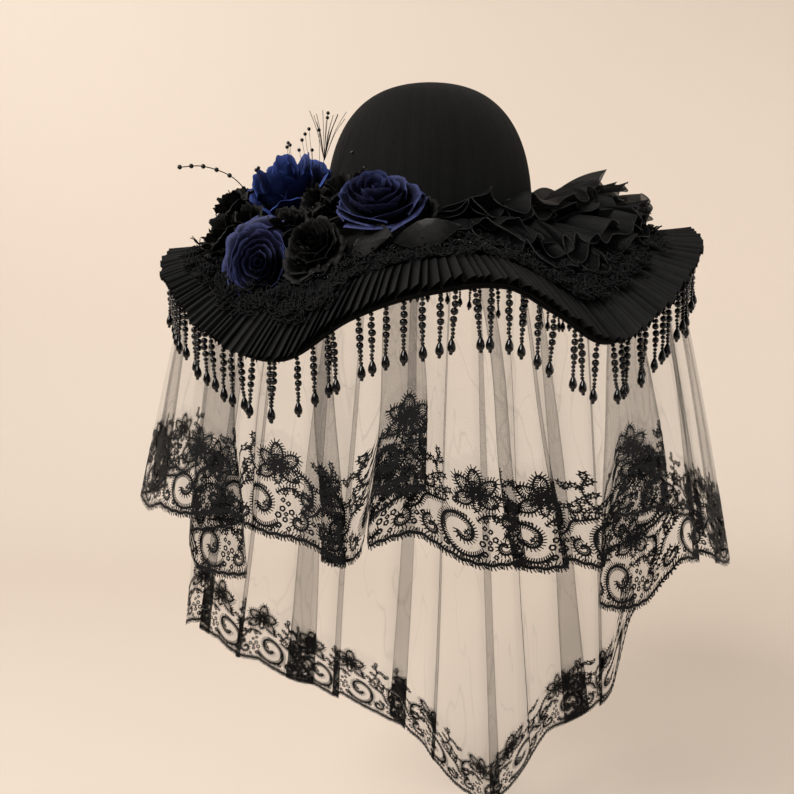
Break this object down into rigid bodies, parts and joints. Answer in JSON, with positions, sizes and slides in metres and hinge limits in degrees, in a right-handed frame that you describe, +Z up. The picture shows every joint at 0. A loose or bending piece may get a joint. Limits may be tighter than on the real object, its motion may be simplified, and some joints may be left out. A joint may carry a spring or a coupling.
{
  "type": "wide brim hat with veil",
  "caption": "Black wide brim dress hat with a waved pleated brim, navy cloth roses, organza ruffles, a bead fringe and a tulle veil with a floral lace border.",
  "frame": {"origin": "middle of the head opening, in the plane where the crown meets the brim", "axes": "+Z up through the crown, -Y to the front of the hat, +X to the wearer's left"},
  "size_m": [0.507, 0.4807, 0.8013],
  "materials": {
    "covered_felt": "matt crepe",
    "pleated_satin": "satin",
    "black_lace": "corded lace",
    "black_organza": "sheer",
    "navy_satin": "satin",
    "royal_blue_cloth": "satin",
    "black_satin": "satin",
    "black_beads": "glossy",
    "black_tulle": "sheer net with lace border"
  },
  "bodies": {
    "root": {"crown": "covered_felt", "brim": "covered_felt", "pleated_edge": "pleated_satin", "lace_trim": "black_lace", "organza_ruffle_lower": "black_organza", "organza_ruffle_upper": "black_organza", "blue_rose_left": "navy_satin", "blue_rose_front": "navy_satin", "blue_flower_top": "royal_blue_cloth", "black_rose_front": "black_satin", "black_rose_back": "black_satin", "satin_leaf_front": "black_satin", "satin_leaf_side": "black_satin", "leaf_left": "black_satin", "leaf_low": "black_satin", "leaf_between": "black_satin", "leaf_crown": "black_satin", "bead_spray": "black_beads", "bead_fringe": "black_beads", "front_veil": "black_tulle", "back_veil": "black_tulle"}
  },
  "joints": []
}
